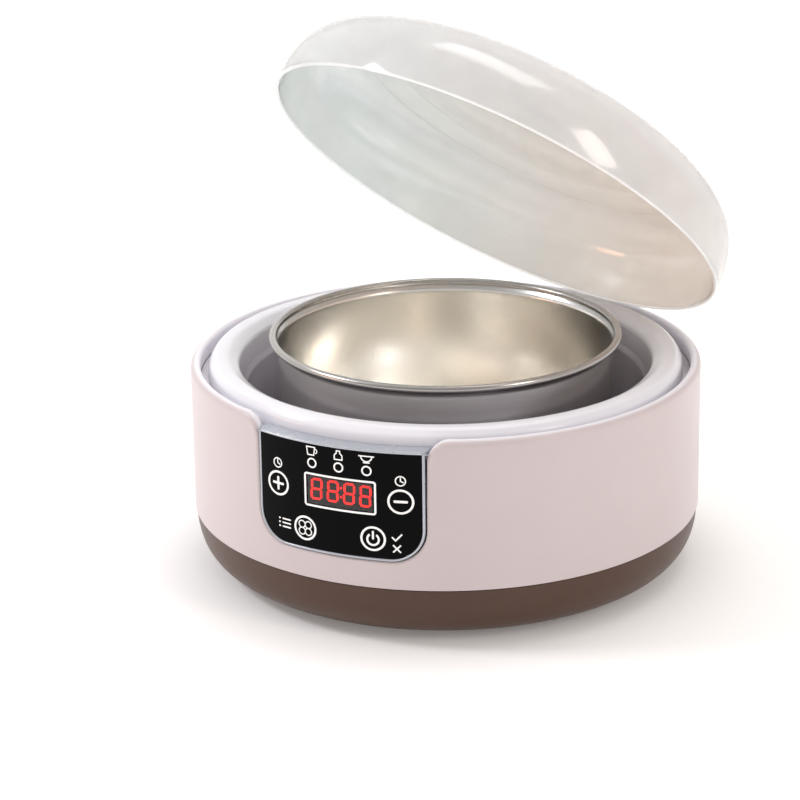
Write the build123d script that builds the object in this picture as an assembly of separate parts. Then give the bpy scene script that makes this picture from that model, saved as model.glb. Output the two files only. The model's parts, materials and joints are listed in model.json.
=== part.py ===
"""Yogurt maker: a round heated housing with a touch panel, a lift-out steel pot and a loose dome lid.

Millimetres, +Z up. The origin is on the housing's axis at the plane it stands on, and the panel faces -Y.
Each function returns one separate physical piece, built where it sits in the finished object.
"""
from build123d import *
from math import atan2, cos, degrees, hypot, pi, radians, sin, sqrt, tan
import os

# ---- driving dimensions of the housing
BODY_R = 102.5
WALL = 2.2
BASE_TOP = 24.0
BASE_R = 101.9
BASE_FLAT_R = 79.0
UNDERSIDE_Z = 1.0
SEAM = 0.4
CREST_Z = 84.6
CREST_R = 99.8
GROOVE_OUT_R = 98.6
GROOVE_IN_R = 95.0
GROOVE_Z = 78.0

# ---- driving dimensions of the inner well and the heated plate in its floor
WELL_R = 79.9
WELL_FLOOR_Z = 22.0
WELL_WALL = 2.0
WELL_UNDER_Z = WELL_FLOOR_Z - WELL_WALL
PLATE_R = 57.7
PLATE_TOP = WELL_FLOOR_Z + 0.3
PLATE_FLANGE_R = 63.0
PLATE_FLANGE_Z = 17.4
PLATE_SCREW_R = 67.5

# ---- driving dimensions of the pot
POT_R = 67.2
POT_RIM_R = 70.7
POT_TOP = 94.9
POT_WALL = 0.6
POT_BASE_Z = PLATE_TOP + 0.3
POT_CORNER = 12.0
RIM_ROLL = 1.5

# ---- driving dimensions of the lid, and the edge line that it tips about
LID_R = 97.5
LID_WALL = 1.5
LID_HEIGHT = 41.0
LID_SKIRT = 4.0
LID_REST_Z = 80.3
TIP_AZIMUTH = 72.35
TIP_R = 102.55
TIP_Z = 82.13
TIP_SKEW = 1.45
TIP_RISE = 3.92
TIP_ANGLE = 40.94

# ---- driving dimensions of the touch panel, whose outline is drawn on the XZ plane
PANEL_HALF = 33.7
PANEL_LOW = 36.7
PANEL_TOP = 79.2
PANEL_CORNER = 12.0
PANEL_TRIM = 0.9
PANEL_FLANGE = 3.0
OVERLAY_R = 102.2
OVERLAY_T = 0.4
BEZEL_R = 102.6
BEZEL_T = 2.2
NOTCH_GAP = 0.3
NOTCH_FLARE = 8.0
WINDOW_W = 29.0
WINDOW_H = 13.2
WINDOW_X = 1.7
WINDOW_Z = 60.8
LAMP_PITCH = 11.3
LAMP_Z = 71.6
LAMP_HOLE_R = 1.5
KEYS = ((-25.5, 60.2), (25.8, 60.2), (-13.3, 44.5), (15.1, 44.5))

# ---- electronics
BOARD_Y = -90.5
BOARD_T = 1.6
BOARD_HALF = 30.0
BOARD_LOW = 39.5
BOARD_TOP = 75.5
DIGIT_H = 8.8
DIGIT_W = 4.9
DIGIT_PITCH = 6.8
POWER_BOARD_Z = 5.0
POWER_BOARD_TOP = POWER_BOARD_Z + BOARD_T
POWER_BOARD_Y = 20.0
POWER_BOARD_SIZE = (74.0, 56.0)
WIRE_R = 0.8

# ---- power inlet at the back
INLET_Z = 38.0
INLET_Y = 102.4
INLET_DEPTH = 11.0
INLET_PIN_X = 4.3

# ---- fasteners and feet
BOSS_R = 72.0
BOSS_ANGLES = (45, 135, 225, 315)
BOSS_MEET_Z = 9.8
FOOT_R = 7.0
FOOT_CIRCLE = 68.0
FOOT_ANGLES = (0, 90, 180, 270)


# ---- small helpers

def rz(r, z):
    """A point of a turning section: r out from the axis, z up."""
    return (r, 0, z)


def arc(r, z, radius, start, end):
    """Circular arc of a turning section about (r, z), between two angles in degrees."""
    angles = [radians(start), radians((start + end) / 2), radians(end)]
    return ThreePointArc(*[rz(r + radius * cos(a), z + radius * sin(a)) for a in angles])


def lines(*points):
    """Straight run of a turning section through (r, z) points."""
    return Polyline(*[rz(*p) for p in points])


def turned(*edges):
    """Closed turning section spun once round the axis."""
    return revolve(make_face(edges), Axis.Z)


def ring(r_out, r_in, z0, z1):
    """Flat-faced ring about the axis."""
    return extrude(Plane.XY.offset(z0) * (Circle(r_out) - Circle(r_in)), z1 - z0)


def disc(x, y, r, z0, z1):
    """Upright cylinder."""
    return extrude(Plane.XY.offset(z0) * Pos(x, y) * Circle(r), z1 - z0)


def block(x0, x1, y0, y1, z0, z1):
    """Box between two corners."""
    return Pos((x0 + x1) / 2, (y0 + y1) / 2, (z0 + z1) / 2) * Box(x1 - x0, y1 - y0, z1 - z0)


def forward(sketch, y0, y1):
    """A sketch drawn in X and Z, made solid from y0 forward to the lower y1."""
    return extrude(Plane.XZ.offset(-y0) * sketch, y0 - y1)


def polar(r, angle):
    """X and Y of a point on a circle about the axis."""
    return (r * cos(radians(angle)), r * sin(radians(angle)))


def shell_depth(radius, x):
    """Y of the front of a cylinder about the axis, at a given X."""
    return -sqrt(radius**2 - x**2)


def joined(solids):
    """Separate solids of one node."""
    return Compound(children=list(solids))


# ---- housing

def panel_outline(grow):
    """Panel outline: square at the top, round at the two lower corners, grown by an offset."""
    half = PANEL_HALF + grow
    low = PANEL_LOW - grow
    height = PANEL_TOP + PANEL_TRIM - low
    plate = Pos(0, low + height / 2) * Rectangle(2 * half, height)
    lower = plate.vertices().group_by(Axis.Y)[0]
    return fillet(lower, PANEL_CORNER + grow)


def notch_outline():
    """Opening in the shell: the panel outline, flared into the crest by a round at each side."""
    half = PANEL_HALF + PANEL_TRIM + NOTCH_GAP
    start = CREST_Z - NOTCH_FLARE
    top = CREST_Z + 5
    flare = half + NOTCH_FLARE
    mouth = Pos(0, (start + top) / 2) * Rectangle(2 * flare, top - start)
    for side in (-1, 1):
        mouth -= Pos(side * flare, start) * Circle(NOTCH_FLARE)
    return panel_outline(PANEL_TRIM + NOTCH_GAP) + mouth


def inlet_outline(width, height):
    """Obround of the power inlet."""
    return Pos(0, INLET_Z) * SlotOverall(width, height)


def outer_shell():
    """White outer wall with a rounded crest that turns down into the lid's groove."""
    inner = BODY_R - WALL
    outer_round = BODY_R - CREST_R
    inner_round = CREST_R - GROOVE_OUT_R
    crest_in_z = CREST_Z - inner_round
    lip_z = GROOVE_Z + 0.2
    foot_z = BASE_TOP + SEAM
    wall = turned(
        lines((BODY_R, foot_z), (BODY_R, CREST_Z - outer_round)),
        arc(CREST_R, CREST_Z - outer_round, outer_round, 0, 90),
        arc(CREST_R, crest_in_z, inner_round, 90, 180),
        lines((GROOVE_OUT_R, crest_in_z), (GROOVE_OUT_R, lip_z), (inner, lip_z), (inner, foot_z), (BODY_R, foot_z)),
    )
    wall -= forward(notch_outline(), -60, -120)
    wall -= forward(inlet_outline(24.6, 15.6), 120, 60)
    return wall


def base_curve(r, z_top, z_low, flat_r):
    """Full round from an upright side into the flat underside."""
    squareness = 0.66
    reach = squareness * (r - flat_r)
    drop = squareness * (z_top - z_low)
    return Bezier(rz(r, z_top), rz(r, z_top - drop), rz(flat_r + reach, z_low), rz(flat_r, z_low))


def base_housing():
    """Brown lower tub: rounded side, tongue inside the shell, bosses, board posts, vents and foot pockets."""
    floor_z = UNDERSIDE_Z + WALL
    tongue_out = BODY_R - WALL - 0.2
    tongue_in = tongue_out - 1.8
    tongue_top = BASE_TOP + 5
    tub = turned(
        base_curve(BASE_R, BASE_TOP, UNDERSIDE_Z, BASE_FLAT_R),
        lines((BASE_FLAT_R, UNDERSIDE_Z), (0, UNDERSIDE_Z), (0, floor_z), (BASE_FLAT_R, floor_z)),
        base_curve(tongue_in, BASE_TOP - 4, floor_z, BASE_FLAT_R),
        lines((tongue_in, BASE_TOP - 4), (tongue_in, tongue_top), (tongue_out, tongue_top),
              (tongue_out, BASE_TOP), (BASE_R, BASE_TOP)),
    )
    tub -= forward(panel_outline(PANEL_TRIM + PANEL_FLANGE + 0.5), -60, -120)
    for angle in BOSS_ANGLES:
        x, y = polar(BOSS_R, angle)
        tub += disc(x, y, 4.6, UNDERSIDE_Z + 1, BOSS_MEET_Z)
        tub -= disc(x, y, 1.9, 0, BOSS_MEET_Z)
        tub -= disc(x, y, 3.8, 0, 5.0)
    for angle in FOOT_ANGLES:
        x, y = polar(FOOT_CIRCLE, angle)
        tub -= disc(x, y, FOOT_R + 0.1, 0, UNDERSIDE_Z + 0.6)
    for x, y in power_board_corners():
        tub += disc(x, y, 2.6, floor_z, POWER_BOARD_Z)
        tub -= disc(x, y, 0.9, floor_z - 0.6, POWER_BOARD_Z)
    vents = 24
    slot = Plane.XY * Pos(45, 0) * SlotOverall(14, 2.2)
    for i in range(vents):
        tub -= Rot(0, 0, 360 / vents * i + 7.5) * extrude(slot, 8)
    return tub


def inner_well():
    """White inner tub in one piece: groove floor, round bead, stepped wall and floor with a hole."""
    flange_r = BODY_R - WALL - 0.2
    flange_low = GROOVE_Z - 1.8
    hole_r = PLATE_R + 0.3
    step_r, step_z = 80.9, 75.4
    corner = 6.0
    bead_in_r, bead_in_z = 84.8, 85.1
    corner_r = WELL_R - corner
    corner_z = WELL_FLOOR_Z + corner
    well = turned(
        lines((flange_r, GROOVE_Z), (GROOVE_IN_R, GROOVE_Z), (GROOVE_IN_R, 82.8)),
        ThreePointArc(rz(GROOVE_IN_R, 82.8), rz(93.9, 85.3), rz(90.6, 86.5)),
        ThreePointArc(rz(90.6, 86.5), rz(87.5, 86.3), rz(bead_in_r, bead_in_z)),
        ThreePointArc(rz(bead_in_r, bead_in_z), rz(83.3, 83.8), rz(82.6, 82.0)),
        lines((82.6, 82.0), (step_r, step_z), (WELL_R, step_z - 1.2), (WELL_R, corner_z)),
        arc(corner_r, corner_z, corner, 0, -90),
        lines((corner_r, WELL_FLOOR_Z), (hole_r, WELL_FLOOR_Z), (hole_r, WELL_UNDER_Z), (corner_r, WELL_UNDER_Z)),
        arc(corner_r, corner_z, corner + WELL_WALL, -90, 0),
        lines((WELL_R + WELL_WALL, corner_z), (WELL_R + WELL_WALL, step_z - 1), (step_r + WELL_WALL, step_z),
              (84.7, 81.8), (86.4, 83.6), (90.6, 84.4), (92.8, 82.6), (93.0, flange_low), (flange_r, flange_low),
              (flange_r, GROOVE_Z)),
    )
    well -= curved_band(flange_r + 1, flange_r - 2, panel_outline(PANEL_TRIM + PANEL_FLANGE + 0.5))
    for angle in BOSS_ANGLES:
        x, y = polar(BOSS_R, angle)
        well += disc(x, y, 4.2, BOSS_MEET_Z + 0.1, WELL_FLOOR_Z - 1)
        well -= disc(x, y, 1.5, BOSS_MEET_Z, WELL_UNDER_Z)
    for angle in plate_screw_angles():
        x, y = polar(PLATE_SCREW_R, angle)
        well += disc(x, y, 3.2, PLATE_FLANGE_Z + 1, WELL_FLOOR_Z - 1)
        well -= disc(x, y, 1.35, PLATE_FLANGE_Z, WELL_UNDER_Z + 0.9)
    return well


def power_inlet():
    """Recessed two-pin inlet: a moulded block with an obround socket, open to the back."""
    width, height = 24.0, 15.0
    body = forward(inlet_outline(width, height), INLET_Y, INLET_Y - 16.4)
    body = chamfer(body.faces().sort_by(Axis.Y)[-1].outer_wire().edges(), 0.5)
    socket = inlet_outline(16.4, 8.6)
    return body - forward(socket, INLET_Y + 1, INLET_Y - INLET_DEPTH)


def inlet_pins():
    """Two round contact pins, each with a flat tab behind the block."""
    pins = []
    root_y = INLET_Y - INLET_DEPTH
    for side in (-1, 1):
        x = side * INLET_PIN_X
        pin = forward(Pos(x, INLET_Z) * Circle(1.2), INLET_Y - 2.4, root_y)
        pin = fillet(pin.faces().sort_by(Axis.Y)[-1].edges(), 0.8)
        tab = block(x - 1.4, x + 1.4, 83.6, INLET_Y - 16.4, INLET_Z - 0.4, INLET_Z + 0.4)
        pins += [pin, tab]
    return joined(pins)


# ---- touch panel and its electronics

def curved_band(r_out, r_in, sketch):
    """Part of an upright cylinder wall inside a sketch, on the -Y side."""
    return ring(r_out, r_in, 0, 120) & forward(sketch, -50, -120)


def panel_bezel():
    """Pale grey panel frame: raised trim, plate behind the film, hidden flange and a ledge under the bead."""
    plate_r = OVERLAY_R - OVERLAY_T
    top = PANEL_TOP + PANEL_TRIM
    frame = curved_band(BEZEL_R, plate_r - BEZEL_T, panel_outline(PANEL_TRIM))
    frame -= curved_band(BEZEL_R + 1, plate_r, panel_outline(0) - Pos(0, PANEL_TOP + 5) * Rectangle(90, 10))
    flange_r = BODY_R - WALL - 0.2
    flange = panel_outline(PANEL_TRIM + PANEL_FLANGE) - Pos(0, GROOVE_Z + 5) * Rectangle(90, 10)
    frame += curved_band(flange_r, flange_r - 1.6, flange) - curved_band(flange_r, flange_r - 2, panel_outline(0))
    ledge = Pos(0, top - PANEL_TRIM / 2) * Rectangle(2 * (PANEL_HALF + PANEL_TRIM), PANEL_TRIM)
    frame += curved_band(BEZEL_R, GROOVE_IN_R + 0.4, ledge)
    frame -= forward(Pos(WINDOW_X, WINDOW_Z) * Rectangle(WINDOW_W, WINDOW_H), -90, -120)
    for x in lamp_places():
        frame -= forward(Pos(x, LAMP_Z) * Circle(LAMP_HOLE_R + 0.3), -90, -120)
    for x, z in KEYS:
        frame -= forward(Pos(x, z) * Circle(4.2), -90, -120)
    for x, z in board_screw_places():
        frame += forward(Pos(x, z) * Circle(2.4), BOARD_Y - BOARD_T, shell_depth(plate_r - 1, x))
        frame -= forward(Pos(x, z) * Circle(0.85), BOARD_Y - BOARD_T, BOARD_Y - BOARD_T - 4)
    return frame


def panel_overlay():
    """Printed black film in the frame, with a clear window over the display."""
    film = curved_band(OVERLAY_R, OVERLAY_R - OVERLAY_T, panel_outline(0) - Pos(0, PANEL_TOP + 5) * Rectangle(90, 10))
    return film - forward(Pos(WINDOW_X, WINDOW_Z) * Rectangle(WINDOW_W - 2, WINDOW_H - 2), -90, -120)


def display_window():
    """Smoked lens that fills the window in the film."""
    pane = Pos(WINDOW_X, WINDOW_Z) * Rectangle(WINDOW_W - 2, WINDOW_H - 2)
    return curved_band(OVERLAY_R, OVERLAY_R - OVERLAY_T, pane)


def lamp_places():
    """X of each indicator lamp."""
    return [WINDOW_X + LAMP_PITCH * i for i in (-1, 0, 1)]


def board_screw_places():
    """X and Z of the four screws that hold the control board to the panel frame."""
    return [(side * (BOARD_HALF - 3.5), z) for side in (-1, 1) for z in (BOARD_LOW + 13, BOARD_TOP - 3.5)]


def display_module():
    """Four-digit display block on the control board."""
    case = Pos(WINDOW_X, WINDOW_Z) * Rectangle(WINDOW_W - 0.6, WINDOW_H - 0.6)
    return forward(case, BOARD_Y - BOARD_T, -100.2)


def digit_outline():
    """One seven-segment figure eight, leaning slightly, as mitred bars."""
    bar = 0.9
    gap = 0.14
    half_w = DIGIT_W / 2 - bar / 2
    half_h = DIGIT_H / 2 - bar / 2
    lean = tan(radians(4))
    figure = Sketch()
    ends = [((-half_w, z), (half_w, z)) for z in (-half_h, 0, half_h)]
    ends += [((x, z), (x, z + half_h)) for x in (-half_w, half_w) for z in (-half_h, 0)]
    for (x0, z0), (x1, z1) in ends:
        length = hypot(x1 - x0, z1 - z0) - 2 * gap
        turn = degrees(atan2(z1 - z0, x1 - x0))
        point = bar / 2
        corners = [(-length / 2, 0), (point - length / 2, point), (length / 2 - point, point),
                   (length / 2, 0), (length / 2 - point, -point), (point - length / 2, -point)]
        middle = ((x0 + x1) / 2 + lean * (z0 + z1) / 2, (z0 + z1) / 2)
        figure += Pos(*middle) * Rot(0, 0, turn) * make_face(Polyline(*corners, close=True))
    return figure


def display_digits():
    """Lit segments and colon on the face of the display block."""
    marks = Sketch()
    for place in (-1.5, -0.5, 0.5, 1.5):
        marks += Pos(WINDOW_X + place * DIGIT_PITCH, WINDOW_Z) * digit_outline()
    for dz in (-1.8, 1.8):
        marks += Pos(WINDOW_X, WINDOW_Z + dz) * Circle(0.5)
    return forward(marks, -100.2, -100.35)


def indicator_lamps():
    """Three small lamps standing on the control board, with domed ends in the frame's holes."""
    lamps = []
    for x in lamp_places():
        tip = -99.4
        lamp = forward(Pos(x, LAMP_Z) * Circle(LAMP_HOLE_R), BOARD_Y - BOARD_T, tip)
        lamps.append(fillet(lamp.faces().sort_by(Axis.Y)[0].edges(), 1.2))
    return joined(lamps)


def touch_springs():
    """Sensing spring behind each touch key, drawn as its closed sleeve with a contact disc."""
    springs = []
    for x, z in KEYS:
        front = shell_depth(OVERLAY_R - OVERLAY_T, abs(x) - 3.6) + 0.9
        sleeve = Pos(x, z) * (Circle(3.2) - Circle(2.6))
        coil = forward(sleeve, BOARD_Y - BOARD_T, front + 1.2)
        springs.append(coil + forward(Pos(x, z) * Circle(3.4), front + 1.3, front + 0.9))
    return joined(springs)


def control_board():
    """Upright circuit board behind the panel."""
    height = BOARD_TOP - BOARD_LOW
    plate = Pos(0, BOARD_LOW + height / 2) * RectangleRounded(2 * BOARD_HALF, height, 2)
    board = forward(plate, BOARD_Y, BOARD_Y - BOARD_T)
    for x, z in board_screw_places():
        board -= forward(Pos(x, z) * Circle(1.2), BOARD_Y + 1, BOARD_Y - BOARD_T - 1)
    return board


def board_screws():
    """Four pan-head screws through the control board."""
    screws = []
    for x, z in board_screw_places():
        head = forward(Pos(x, z) * Circle(2.0), BOARD_Y + 1.3, BOARD_Y)
        shank = forward(Pos(x, z) * Circle(0.8), BOARD_Y, BOARD_Y - BOARD_T - 3.5)
        screws.append(head + shank)
    return joined(screws)


def control_chip():
    """Flat controller chip with two rows of legs, on the back of the control board."""
    body = block(-5, 5, BOARD_Y + 0.3, BOARD_Y + 2.0, 56.5, 63.5)
    legs = [block(x - 0.2, x + 0.2, BOARD_Y, BOARD_Y + 1.1, z, z + 1.2)
            for x in [-4.4 + 1.1 * i for i in range(9)] for z in (55.3, 63.5)]
    return joined([body] + legs)


def buzzer():
    """Round buzzer with a sound hole, on the back of the control board."""
    can = forward(Pos(19, 60) * Circle(4.6), BOARD_Y + 5.2, BOARD_Y)
    return can - forward(Pos(19, 60) * Circle(0.8), BOARD_Y + 6, BOARD_Y + 3.4)


def board_connectors():
    """Two plug housings on the control board and four on the power board."""
    plugs = [block(x - 5, x + 5, BOARD_Y, BOARD_Y + 5, 41.0, 46.5) for x in (-14, 14)]
    for x, y in ((-12, -4.5), (12, -4.5), (-24, 44.5), (18, 44.5)):
        plugs.append(block(x - 5, x + 5, y - 2.6, y + 2.6, POWER_BOARD_TOP, POWER_BOARD_TOP + 6))
    return joined(plugs)


# ---- heater in the floor of the well

def plate_screw_angles():
    """Angles of the three ears that hold the heated plate."""
    return (90, 210, 330)


def heating_plate():
    """Aluminium plate: flat top, short skirt, flange below the floor and three screw ears."""
    flange_top = PLATE_FLANGE_Z + 1
    plate = disc(0, 0, PLATE_R, PLATE_TOP - 1.7, PLATE_TOP)
    plate = fillet(plate.faces().sort_by(Axis.Z)[-1].edges(), 0.4)
    plate += ring(PLATE_R, PLATE_R - 2, PLATE_FLANGE_Z, PLATE_TOP - 1)
    plate += ring(PLATE_FLANGE_R, PLATE_R - 2, PLATE_FLANGE_Z, flange_top)
    for angle in plate_screw_angles():
        ear = Pos(PLATE_SCREW_R - 4, 0) * Rectangle(8, 9) + Pos(PLATE_SCREW_R, 0) * Circle(4.5)
        plate += Rot(0, 0, angle) * extrude(Plane.XY.offset(PLATE_FLANGE_Z) * ear, 1)
        plate -= disc(*polar(PLATE_SCREW_R, angle), 1.7, PLATE_FLANGE_Z - 1, flange_top + 1)
    return plate


def plate_gasket():
    """Silicone ring pressed between the plate's flange and the floor of the well."""
    return ring(PLATE_FLANGE_R - 0.3, PLATE_R + 0.2, PLATE_FLANGE_Z + 1, WELL_UNDER_Z)


def plate_screws():
    """Three screws from below through the plate's ears."""
    screws = []
    for angle in plate_screw_angles():
        x, y = polar(PLATE_SCREW_R, angle)
        head = disc(x, y, 2.8, PLATE_FLANGE_Z - 1.6, PLATE_FLANGE_Z)
        screws.append(head + disc(x, y, 1.3, PLATE_FLANGE_Z, WELL_UNDER_Z + 0.7))
    return joined(screws)


def heater_foil():
    """Ring-shaped silicone heater stuck under the plate, with a tail for its leads."""
    under = PLATE_TOP - 1.7
    return ring(52, 15, under - 0.8, under) + block(-38, -26, 30, 38, under - 1.6, under - 0.8)


def thermistor():
    """Temperature sensor capsule in the middle of the plate's underside."""
    under = PLATE_TOP - 1.7
    capsule = Pos(0, 0, under - 1.6) * Rot(0, 90, 0) * Cylinder(1.6, 12)
    return fillet(capsule.edges(), 0.6)


def sensor_clip():
    """Steel strap that holds the sensor against the plate."""
    under = PLATE_TOP - 1.7
    low = under - 3.3
    strap = block(-2.5, 2.5, -1.8, 1.8, low - 0.5, low)
    for side in (-1, 1):
        strap += block(-2.5, 2.5, side * 2.05 - 0.25, side * 2.05 + 0.25, low - 0.5, under)
        strap += block(-2.5, 2.5, min(side * 2, side * 8), max(side * 2, side * 8), under - 0.5, under)
    return strap


def thermal_fuse():
    """Cut-out in a short tube under the heater, with its two stub leads."""
    z = PLATE_TOP - 1.7 - 0.8 - 1.8
    tube = Pos(24, -22, z) * Rot(0, 90, 0) * Cylinder(1.7, 11)
    return tube + Pos(24, -22, z) * Rot(0, 90, 0) * Cylinder(0.5, 22)


def fuse_clamp():
    """Plastic saddle round the cut-out."""
    top = PLATE_TOP - 1.7 - 0.8
    saddle = block(21, 27, -25.2, -18.8, top - 4.6, top)
    return saddle - Pos(24, -22, top - 1.8) * Rot(0, 90, 0) * Cylinder(1.75, 20)


# ---- power board

def power_board_corners():
    """Screw places of the power board."""
    half_x = POWER_BOARD_SIZE[0] / 2 - 4
    half_y = POWER_BOARD_SIZE[1] / 2 - 4
    return [(sx * half_x, POWER_BOARD_Y + sy * half_y) for sx in (-1, 1) for sy in (-1, 1)]


def power_board():
    """Flat circuit board on posts in the tub."""
    outline = Pos(0, POWER_BOARD_Y) * RectangleRounded(*POWER_BOARD_SIZE, 2)
    board = extrude(Plane.XY.offset(POWER_BOARD_Z) * outline, BOARD_T)
    for x, y in power_board_corners():
        board -= disc(x, y, 1.3, POWER_BOARD_Z - 1, POWER_BOARD_TOP + 1)
    return board


def power_board_screws():
    """Four screws that hold the power board to its posts."""
    screws = []
    for x, y in power_board_corners():
        head = disc(x, y, 2.3, POWER_BOARD_TOP, POWER_BOARD_TOP + 1.5)
        screws.append(head + disc(x, y, 0.85, UNDERSIDE_Z + WALL - 0.4, POWER_BOARD_TOP))
    return joined(screws)


def transformer():
    """Small transformer: core halves round a wound bobbin."""
    z0 = POWER_BOARD_TOP
    bobbin = block(-8, 4, 14, 26, z0, z0 + 8.8)
    core = block(-10, 6, 17, 23, z0 + 1, z0 + 8)
    return bobbin + core


def film_capacitor():
    """Boxed mains filter capacitor."""
    box = block(-30, -17, 30, 38, POWER_BOARD_TOP, POWER_BOARD_TOP + 8.5)
    return fillet(box.edges().filter_by(Axis.Z), 0.8)


def smoothing_capacitors():
    """Two round capacitors lying on the power board."""
    z = POWER_BOARD_TOP + 4
    return joined([Pos(22, y, z) * Rot(0, 90, 0) * Cylinder(4, 14) for y in (16, 27)])


def triac():
    """Flat power switch that turns the heater on, with three legs."""
    z0 = POWER_BOARD_TOP
    legs = [block(-24 + dx - 0.4, -24 + dx + 0.4, 6.5, 10, z0 + 1.6, z0 + 2.1) for dx in (-2.54, 0, 2.54)]
    return joined([block(-29, -19, 10, 20, z0, z0 + 4.4)] + legs)


def glass_fuse():
    """Glass fuse tube with a metal cap at each end."""
    axis = Pos(6, 38, POWER_BOARD_TOP + 3.2) * Rot(0, 90, 0)
    return axis * Cylinder(2.4, 14)


def fuse_clips():
    """Two spring clips that hold the fuse by its ends."""
    clips = []
    for side in (-1, 1):
        x = 6 + side * 8.5
        cap = Pos(x, 38, POWER_BOARD_TOP + 3.2) * Rot(0, 90, 0) * Cylinder(2.7, 3)
        clips.append(cap + block(x - 1.5, x + 1.5, 36, 40, POWER_BOARD_TOP, POWER_BOARD_TOP + 1.2))
    return joined(clips)


# ---- wiring, each lead clipped along the inside of the housing

def lead(points, radius=WIRE_R):
    """Round lead along straight runs joined by arcs as large as the runs allow."""
    runs = [Vector(*b) - Vector(*a) for a, b in zip(points, points[1:])]
    radii = []
    for before, after in zip(runs, runs[1:]):
        turn = radians(before.get_angle(after))
        radii.append(0.45 * min(before.length, after.length) / tan(turn / 2))
    path = FilletPolyline(*points, radius=radii)
    section = Plane(origin=path @ 0, z_dir=path % 0) * Circle(radius)
    tube = sweep(section, path=path)
    print("lead: tube over section times length", round(tube.volume / (pi * radius**2 * path.length), 4),
          "smallest bend", round(min(radii), 1))
    return tube


def mains_leads():
    """Two leads from the inlet's tabs, down behind the well to the power board."""
    leads = []
    for side in (-1, 1):
        x = side * INLET_PIN_X
        leads.append(lead([(x, 84.9, 37.5), (x, 84.8, 27.0), (0.9 * x + 3, 83.0, 17.0), (0.8 * x + 8, 73.5, 12.5),
                           (0.7 * x + 14, 62.0, 11.0), (0.6 * x + 17.5, 54.0, 10.2), (0.6 * x + 18, 47.3, 9.6)]))
    return joined(leads)


def heater_leads():
    """Two leads from the heater's tail to the power board."""
    z = PLATE_TOP - 4.1
    return joined([lead([(-28 - dx, 38.2, z + 0.4), (-29 - dx, 42.5, z - 1.5), (-29 - dx, 49.0, 13.6),
                         (-27 - dx, 55.5, 12.0), (-23 - dx, 53.0, 9.6), (-22 - dx, 47.2, 9.6)])
                   for dx in (0, 4)])


def sensor_leads():
    """Two thin leads from the sensor to the front of the power board."""
    return joined([lead([(6.2, dy, 19.0), (14.0, dy, 18.6), (23.0, dy - 2, 16.0), (27.0, dy - 9, 12.5),
                         (24.0, dy - 15, 10.0), (17.0 - dy, dy - 17, 9.4), (12 - 2 * dy, -13.0, 9.4),
                         (12 - 2 * dy, -7.2, 9.4)], 0.45) for dy in (-0.8, 0.8)])


def ribbon_cable():
    """Five thin leads side by side, from the power board up to the back of the control board."""
    leads = []
    for i in range(5):
        x = -16 + 2 * i
        leads.append(lead([(x, -7.2, 9.4), (x, -20.0, 9.0), (x, -45.0, 11.0), (x, -68.0, 11.0),
                           (x, -82.5, 17.0), (x, -86.5, 29.0), (x - 0.1, -87.6, 40.8)], 0.5))
    return joined(leads)


# ---- fasteners and feet

def base_screws():
    """Four screws that close the housing from below."""
    screws = []
    for angle in BOSS_ANGLES:
        x, y = polar(BOSS_R, angle)
        head = disc(x, y, 3.3, 2.8, 5.0)
        head -= block(x - 0.5, x + 0.5, y - 2.2, y + 2.2, 2.8, 3.8)
        head -= block(x - 2.2, x + 2.2, y - 0.5, y + 0.5, 2.8, 3.8)
        screws.append(head + disc(x, y, 1.45, 5.0, WELL_UNDER_Z - 2))
    return joined(screws)


def rubber_feet():
    """Four rubber feet let into the underside."""
    feet = []
    for angle in FOOT_ANGLES:
        x, y = polar(FOOT_CIRCLE, angle)
        foot = disc(x, y, FOOT_R, 0, UNDERSIDE_Z + 0.6)
        feet.append(fillet(foot.faces().sort_by(Axis.Z)[0].edges(), 0.4))
    return joined(feet)


# ---- pot

def steel_pot():
    """Drawn steel pot: round corner, upright wall, flared mouth and a rolled rim."""
    inner = POT_R - POT_WALL
    roll_z = POT_TOP - RIM_ROLL
    roll_r = POT_RIM_R - RIM_ROLL
    flare_z = roll_z - 3.0
    corner_r = POT_R - POT_CORNER
    corner_z = POT_BASE_Z + POT_CORNER
    pot = turned(
        lines((0, POT_BASE_Z), (corner_r, POT_BASE_Z)),
        arc(corner_r, corner_z, POT_CORNER, -90, 0),
        lines((POT_R, corner_z), (POT_R, flare_z), (roll_r, roll_z - 0.6), (roll_r - 0.5, roll_z + 0.2),
              (inner, flare_z + 0.4), (inner, corner_z)),
        arc(corner_r, corner_z, POT_CORNER - POT_WALL, 0, -90),
        lines((corner_r, POT_BASE_Z + POT_WALL), (0, POT_BASE_Z + POT_WALL), (0, POT_BASE_Z)),
    )
    rim = Plane.XZ * Pos(roll_r, roll_z) * Circle(RIM_ROLL)
    return pot + revolve(rim, Axis.Z)


# ---- lid

def dome_curve(r, z0, top):
    """Half of the dome's section, from the skirt over to the axis."""
    rise = top - z0
    return Bezier(rz(r, z0), rz(r, z0 + 0.75 * rise), rz(0.80 * r, top), rz(0, top))


def tip_axis():
    """The line that the tipped lid turns about: just outside the crest at the back, a little out of level."""
    x, y = polar(TIP_R, TIP_AZIMUTH)
    heading = radians(TIP_AZIMUTH + 90 - TIP_SKEW)
    rise = radians(TIP_RISE)
    return Axis((x, y, TIP_Z), (cos(heading) * cos(rise), sin(heading) * cos(rise), sin(rise)))


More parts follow.
